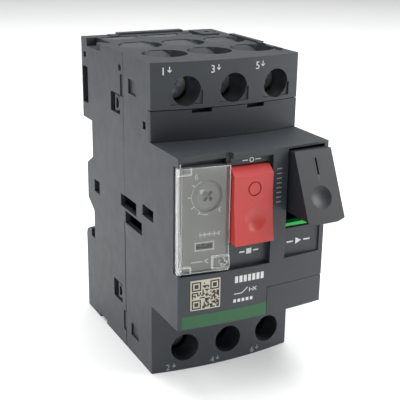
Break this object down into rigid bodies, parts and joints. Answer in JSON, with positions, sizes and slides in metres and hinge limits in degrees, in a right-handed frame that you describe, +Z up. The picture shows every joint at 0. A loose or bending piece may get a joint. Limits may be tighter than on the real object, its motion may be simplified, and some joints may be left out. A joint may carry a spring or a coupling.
{
  "type": "motor protection breaker",
  "caption": "Rail-mounted motor protection breaker with start and stop buttons, a covered current dial, and screw terminals above and below.",
  "frame": {"origin": "middle of the rail seat: half way across the width, on the front face of the rail flange, half way up the rail slot", "axes": "+Z up, towards the supply terminals; +X to the right seen from the front; +Y to the back, into the rail; the front faces -Y"},
  "size_m": [0.0446, 0.08, 0.0896],
  "materials": {
    "casing": "matte",
    "casing_dark": "matte",
    "setting_grey": "matte",
    "clear": "gloss",
    "stop_red": "satin",
    "start_grey": "satin",
    "green": "satin",
    "steel": "satin",
    "copper": "satin",
    "brass": "satin",
    "insulator": "matte",
    "carrier_brown": "matte",
    "clip_black": "matte",
    "label": "matte"
  },
  "bodies": {
    "casing": {"rear_base": "casing", "front_housing": "casing", "upper_terminal_cover": "casing", "closing_plate": "casing_dark", "aux_slot_cover": "casing", "setting_plate": "setting_grey", "compensation_pin": "steel", "cover_hinge_pins": "steel", "stop_pin": "steel", "stop_spring": "steel", "start_pin": "steel", "start_spring": "steel", "mechanism_frame": "steel", "closing_pin": "steel", "trip_pin": "steel", "trip_spring": "steel", "opening_spring": "steel", "line_terminal_1": "copper", "line_terminal_2": "copper", "line_terminal_3": "copper", "load_terminal_1": "copper", "load_terminal_2": "copper", "load_terminal_3": "copper", "line_saddles": "brass", "load_saddles": "brass", "magnet_coil_1": "copper", "magnet_coil_2": "copper", "magnet_coil_3": "copper", "magnet_cores": "steel", "bimetal_1": "steel", "bimetal_2": "steel", "bimetal_3": "steel", "heaters": "steel", "arc_chutes": "steel", "clip_spring": "steel", "code_label": "label"},
    "start_button": {"start_button": "start_grey", "start_skirt": "green"},
    "stop_button": {"stop_button": "stop_red"},
    "clear_cover": {"clear_cover": "clear"},
    "setting_dial": {"setting_dial": "setting_grey"},
    "compensation_lever": {"compensation_lever": "steel"},
    "closing_lever": {"closing_lever": "steel"},
    "contact_carrier": {"contact_carrier": "carrier_brown", "contact_springs": "steel", "contact_bridge_1": "copper", "contact_bridge_2": "copper", "contact_bridge_3": "copper"},
    "trip_slide": {"trip_slide": "insulator"},
    "trip_lever": {"trip_lever": "brass"},
    "rail_clip": {"rail_clip": "clip_black"},
    "plunger_1": {"plunger_1": "steel"},
    "line_screw_1": {"line_screw_1": "steel"},
    "load_screw_1": {"load_screw_1": "steel"},
    "plunger_2": {"plunger_2": "steel"},
    "line_screw_2": {"line_screw_2": "steel"},
    "load_screw_2": {"load_screw_2": "steel"},
    "plunger_3": {"plunger_3": "steel"},
    "line_screw_3": {"line_screw_3": "steel"},
    "load_screw_3": {"load_screw_3": "steel"}
  },
  "joints": [
    {"name": "start_press", "type": "hinge", "parent": "casing", "child": "start_button", "pos_m": [0.015, -0.0587, 0.01805], "axis": [1, 0, 0], "range_deg": [0, 24], "stiffness_Nm_per_rad": 0.04, "deforming": ["start_spring"]},
    {"name": "stop_press", "type": "hinge", "parent": "casing", "child": "stop_button", "pos_m": [-0.0025, -0.0557, 0.01545], "axis": [1, 0, 0], "range_deg": [0, 7], "stiffness_Nm_per_rad": 0.1, "deforming": ["stop_spring"]},
    {"name": "cover_swing", "type": "hinge", "parent": "casing", "child": "clear_cover", "pos_m": [-0.0214, -0.05965, 0.00475], "axis": [0, 0, -1], "range_deg": [-1.5, 95]},
    {"name": "dial_turn", "type": "hinge", "parent": "casing", "child": "setting_dial", "pos_m": [-0.01355, -0.0525, 0.01045], "axis": [0, -1, 0], "range_deg": [0, 180]},
    {"name": "compensation_turn", "type": "hinge", "parent": "casing", "child": "compensation_lever", "pos_m": [-0.0193, -0.0465, 0.00955], "axis": [0, 0, 1], "range_deg": [0, 5.4]},
    {"name": "closing_turn", "type": "hinge", "parent": "casing", "child": "closing_lever", "pos_m": [0.0024, -0.0465, -0.00475], "axis": [1, 0, 0], "range_deg": [-8.5, 0]},
    {"name": "carrier_slide", "type": "slide", "parent": "casing", "child": "contact_carrier", "axis": [0, 1, 0], "range_m": [0, 0.00296], "deforming": ["opening_spring"]},
    {"name": "trip_turn", "type": "hinge", "parent": "casing", "child": "trip_lever", "pos_m": [0.0095, -0.0442, 0.00555], "axis": [0, 1, 0], "range_deg": [0, 22.1]},
    {"name": "trip_slide", "type": "slide", "parent": "casing", "child": "trip_slide", "axis": [1, 0, 0], "range_m": [-0.0016, 0], "stiffness_N_per_m": 150, "deforming": ["trip_spring"]},
    {"name": "clip_slide", "type": "slide", "parent": "casing", "child": "rail_clip", "axis": [0, 0, -1], "range_m": [0, 0.0022], "stiffness_N_per_m": 600, "deforming": ["clip_spring"]},
    {"name": "plunger_1_slide", "type": "slide", "parent": "casing", "child": "plunger_1", "axis": [0, -1, 0], "range_m": [0, 0.0025]},
    {"name": "plunger_2_slide", "type": "slide", "parent": "casing", "child": "plunger_2", "axis": [0, -1, 0], "range_m": [0, 0.0025]},
    {"name": "plunger_3_slide", "type": "slide", "parent": "casing", "child": "plunger_3", "axis": [0, -1, 0], "range_m": [0, 0.0025]},
    {"name": "line_screw_1_turn", "type": "hinge", "parent": "casing", "child": "line_screw_1", "pos_m": [-0.0125, -0.0325, 0.03455], "axis": [0, 1, 0], "range_deg": [0, 1080]},
    {"name": "line_screw_2_turn", "type": "hinge", "parent": "casing", "child": "line_screw_2", "pos_m": [0.0011, -0.0325, 0.03455], "axis": [0, 1, 0], "range_deg": [0, 1080]},
    {"name": "line_screw_3_turn", "type": "hinge", "parent": "casing", "child": "line_screw_3", "pos_m": [0.0147, -0.0325, 0.03455], "axis": [0, 1, 0], "range_deg": [0, 1080]},
    {"name": "load_screw_1_turn", "type": "hinge", "parent": "casing", "child": "load_screw_1", "pos_m": [-0.0125, -0.0325, -0.03975], "axis": [0, 1, 0], "range_deg": [0, 1080]},
    {"name": "load_screw_2_turn", "type": "hinge", "parent": "casing", "child": "load_screw_2", "pos_m": [0.0011, -0.0325, -0.03975], "axis": [0, 1, 0], "range_deg": [0, 1080]},
    {"name": "load_screw_3_turn", "type": "hinge", "parent": "casing", "child": "load_screw_3", "pos_m": [0.0147, -0.0325, -0.03975], "axis": [0, 1, 0], "range_deg": [0, 1080]}
  ],
  "couplings": [
    {"joint": "closing_turn", "follows": "start_press", "ratio": -0.35},
    {"joint": "carrier_slide", "follows": "start_press", "m_per_rad": 0.0070426},
    {"joint": "compensation_turn", "follows": "dial_turn", "ratio": 0.029722},
    {"joint": "trip_turn", "follows": "trip_slide", "rad_per_m": -239.98}
  ]
}
